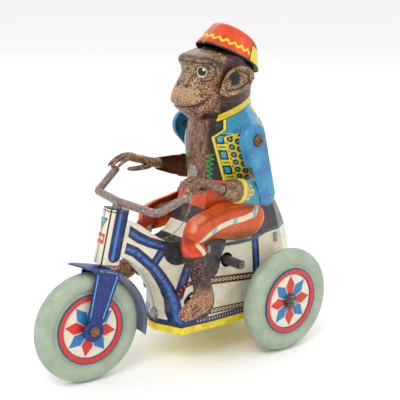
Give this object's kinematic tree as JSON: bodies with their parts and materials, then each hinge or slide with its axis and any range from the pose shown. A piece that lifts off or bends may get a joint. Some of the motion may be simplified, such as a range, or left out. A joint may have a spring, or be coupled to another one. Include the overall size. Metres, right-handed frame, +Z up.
{
  "type": "clockwork toy tricycle with rider",
  "caption": "Clockwork tin toy: a monkey in a fez pedals a small tricycle with rubber tyres, steered by its handlebar.",
  "frame": {"origin": "on the ground, midway between the front and rear axles, on the centre line", "axes": "+X towards the front wheel, +Y to the rider's left, +Z up"},
  "size_m": [0.1002, 0.0506, 0.108],
  "materials": {
    "frame_print": "cream lithographed tinplate with navy tube print, glossy varnish, light wear",
    "rider_print": "lithographed tinplate: brown fur head, blue jacket, orange fez, glossy varnish",
    "fur_print": "speckled brown lithographed tinplate",
    "trouser_print": "orange-red lithographed tinplate with a cream stripe",
    "leg_print": "dark speckled lithographed tinplate with an orange cuff",
    "sleeve_print": "teal lithographed sleeve with a yellow cuff and a brown speckled hand",
    "arm_blue": "plain sky blue enamelled tinplate",
    "fork_blue": "royal blue enamelled tinplate with thin light blue lines, worn edges",
    "tray_yellow": "yellow enamelled tinplate",
    "wheel_print": "cream tin disc with a red ring and an eight pointed red and blue star",
    "worn_tin": "dull tinned steel tube, rust spotted and worn",
    "bright_tin": "bare tinplate tabs",
    "steel": "plain steel wire and pins",
    "rivet_brass": "dark aged brass rivet",
    "gear_brass": "stamped brass gear",
    "spring_steel": "blued spring steel ribbon",
    "tyre_rubber": "sage green rubber, slightly dirty"
  },
  "bodies": {
    "body": {"frame_left_shell": "frame_print", "frame_right_shell": "frame_print", "rider_left_shell": "rider_print", "rider_right_shell": "rider_print", "left_ear": "fur_print", "right_ear": "fur_print", "left_thigh": "trouser_print", "right_thigh": "trouser_print", "left_knee_pin": "steel", "right_knee_pin": "steel", "left_shoulder_rivet": "rivet_brass", "right_shoulder_rivet": "rivet_brass", "floor_tray": "tray_yellow", "seam_rivets": "bright_tin", "left_side_tabs": "bright_tin", "right_side_tabs": "bright_tin", "motor_left_plate": "steel", "motor_right_plate": "steel", "motor_pillars": "steel", "mainspring": "spring_steel", "column_bushes": "steel"},
    "steering": {"handlebar": "worn_tin", "steering_stem": "steel", "fork": "fork_blue", "fender": "fork_blue", "front_axle": "rivet_brass"},
    "front_wheel": {"front_wheel": "wheel_print", "front_tyre": "tyre_rubber"},
    "rear_axle": {"rear_axle": "steel", "axle_washers": "steel", "axle_pinion": "steel", "rear_left_wheel": "wheel_print", "rear_left_tyre": "tyre_rubber", "rear_right_wheel": "wheel_print", "rear_right_tyre": "tyre_rubber"},
    "winding_arbor": {"winding_arbor": "steel"},
    "great_wheel": {"great_wheel": "gear_brass", "click": "steel"},
    "intermediate_wheel": {"intermediate_wheel": "gear_brass"},
    "idler_wheel": {"idler_wheel": "gear_brass"},
    "governor": {"governor": "gear_brass"},
    "pedal_crank": {"pedal_crank": "steel"},
    "left_upper_arm": {"left_upper_arm": "arm_blue", "left_elbow_pin": "steel"},
    "left_forearm": {"left_forearm": "sleeve_print"},
    "left_lower_leg": {"left_lower_leg": "leg_print"},
    "right_upper_arm": {"right_upper_arm": "arm_blue", "right_elbow_pin": "steel"},
    "right_forearm": {"right_forearm": "sleeve_print"},
    "right_lower_leg": {"right_lower_leg": "leg_print"}
  },
  "joints": [
    {"name": "steering_turn", "type": "hinge", "parent": "body", "child": "steering", "pos_m": [0.03023, 0, 0.01691], "axis": [-0.2372, 0, 0.9715], "range_deg": [-6, 16.5]},
    {"name": "front_wheel_spin", "type": "hinge", "parent": "steering", "child": "front_wheel", "pos_m": [0.03265, -0.00024, 0.0175], "axis": [0.0926, 0.9954, 0.0226], "continuous": true},
    {"name": "rear_axle_spin", "type": "hinge", "parent": "body", "child": "rear_axle", "pos_m": [-0.03264, 0, 0.0175], "axis": [0, 1, 0], "continuous": true},
    {"name": "winding_arbor_turn", "type": "hinge", "parent": "body", "child": "winding_arbor", "pos_m": [-0.0146, 0, 0.0325], "axis": [0, 1, 0], "continuous": true},
    {"name": "great_wheel_spin", "type": "hinge", "parent": "body", "child": "great_wheel", "pos_m": [-0.0146, 0, 0.0325], "axis": [0, 1, 0], "continuous": true},
    {"name": "intermediate_wheel_spin", "type": "hinge", "parent": "body", "child": "intermediate_wheel", "pos_m": [-0.02563, 0, 0.02661], "axis": [0, 1, 0], "continuous": true},
    {"name": "idler_wheel_spin", "type": "hinge", "parent": "body", "child": "idler_wheel", "pos_m": [-0.00854, 0, 0.01878], "axis": [0, 1, 0], "continuous": true},
    {"name": "governor_spin", "type": "hinge", "parent": "body", "child": "governor", "pos_m": [-0.03596, 0, 0.03038], "axis": [0, 1, 0], "continuous": true},
    {"name": "pedal_crank_spin", "type": "hinge", "parent": "body", "child": "pedal_crank", "pos_m": [0, 0, 0.0207], "axis": [0, 1, 0], "continuous": true},
    {"name": "left_shoulder_swing", "type": "hinge", "parent": "body", "child": "left_upper_arm", "pos_m": [-0.0194, 0.0164, 0.0726], "axis": [0.1736, -0.9848, 0], "range_deg": [-26, 10.1]},
    {"name": "left_elbow_bend", "type": "hinge", "parent": "left_upper_arm", "child": "left_forearm", "pos_m": [-0.02669, 0.01511, 0.0536], "axis": [0.1736, -0.9848, 0], "range_deg": [-6.9, 17.2]},
    {"name": "left_knee_swing", "type": "hinge", "parent": "body", "child": "left_lower_leg", "pos_m": [0.0021, 0.013, 0.046], "axis": [0, 1, 0], "range_deg": [-7, 7]},
    {"name": "right_shoulder_swing", "type": "hinge", "parent": "body", "child": "right_upper_arm", "pos_m": [-0.0194, -0.0164, 0.0726], "axis": [-0.1736, -0.9848, 0], "range_deg": [-10, 25.9]},
    {"name": "right_elbow_bend", "type": "hinge", "parent": "right_upper_arm", "child": "right_forearm", "pos_m": [-0.03171, -0.01423, 0.05649], "axis": [-0.1736, -0.9848, 0], "range_deg": [-17.3, 6.9]},
    {"name": "right_knee_swing", "type": "hinge", "parent": "body", "child": "right_lower_leg", "pos_m": [0.0021, -0.013, 0.046], "axis": [0, 1, 0], "range_deg": [-7, 7]}
  ],
  "couplings": [
    {"joint": "great_wheel_spin", "follows": "rear_axle_spin", "ratio": 0.088235},
    {"joint": "intermediate_wheel_spin", "follows": "rear_axle_spin", "ratio": -0.35294},
    {"joint": "idler_wheel_spin", "follows": "rear_axle_spin", "ratio": -0.17647},
    {"joint": "governor_spin", "follows": "rear_axle_spin", "ratio": 1.2},
    {"joint": "pedal_crank_spin", "follows": "rear_axle_spin", "ratio": 0.23529},
    {"joint": "left_shoulder_swing", "follows": "steering_turn", "ratio": -1.5181},
    {"joint": "left_elbow_bend", "follows": "steering_turn", "ratio": 0.98355},
    {"joint": "right_shoulder_swing", "follows": "steering_turn", "ratio": 1.5069},
    {"joint": "right_elbow_bend", "follows": "steering_turn", "ratio": -0.98763}
  ]
}
